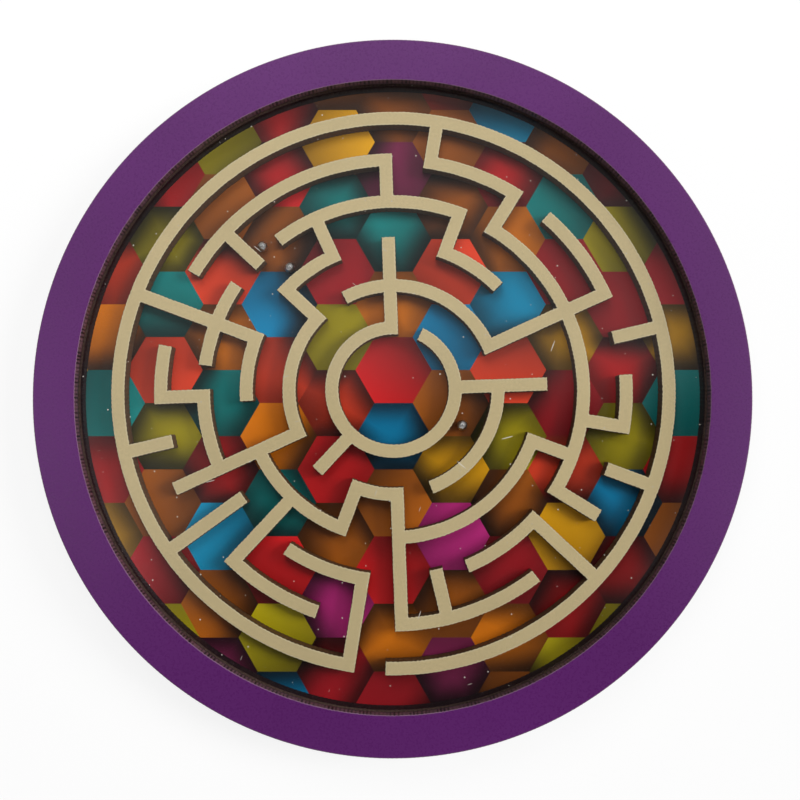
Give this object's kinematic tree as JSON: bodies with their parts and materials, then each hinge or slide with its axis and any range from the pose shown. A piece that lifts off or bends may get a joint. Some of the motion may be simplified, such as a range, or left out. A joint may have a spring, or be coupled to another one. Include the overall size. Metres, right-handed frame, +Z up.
{
  "type": "ball maze puzzle",
  "caption": "Round hand-held ball maze: laser-cut board rings glued in a stack around an open wall pattern, with a clear cover that keeps loose steel balls in the lanes.",
  "frame": {"origin": "middle of the underside", "axes": "+Z up through the clear cover, +Y towards the top of the picture, +X to its right"},
  "size_m": [0.2, 0.2, 0.0123],
  "materials": {
    "board": "raw fibreboard with burnt cut edges",
    "printed_sheet": "printed film with a mosaic of shaded hexagons",
    "cream_board": "cream-coated fibreboard with burnt cut edges",
    "clear_acrylic": "clear polished sheet with fine scratches",
    "purple_board": "satin purple paint with burnt cut edges",
    "steel": "polished steel ball"
  },
  "bodies": {
    "case": {"base_board": "board", "picture_disc": "printed_sheet", "spacer_ring": "board", "maze": "cream_board", "clear_cover": "clear_acrylic", "top_ring": "purple_board"},
    "ball_1": {"ball_1": "steel"},
    "ball_2": {"ball_2": "steel"},
    "ball_3": {"ball_3": "steel"}
  },
  "joints": [
    {"name": "ball_1_roll", "type": "slide", "parent": "case", "child": "ball_1", "axis": [-0.7314, 0.682, 0], "range_m": [-0.0064, 0.006]},
    {"name": "ball_2_roll", "type": "hinge", "parent": "case", "child": "ball_2", "pos_m": [0.0002, 0.001, 0], "axis": [0, 0, 1], "range_deg": [-11, 24.5]},
    {"name": "ball_3_roll", "type": "hinge", "parent": "case", "child": "ball_3", "pos_m": [0.0002, 0.001, 0], "axis": [0, 0, 1], "range_deg": [-95.5, 19]}
  ]
}
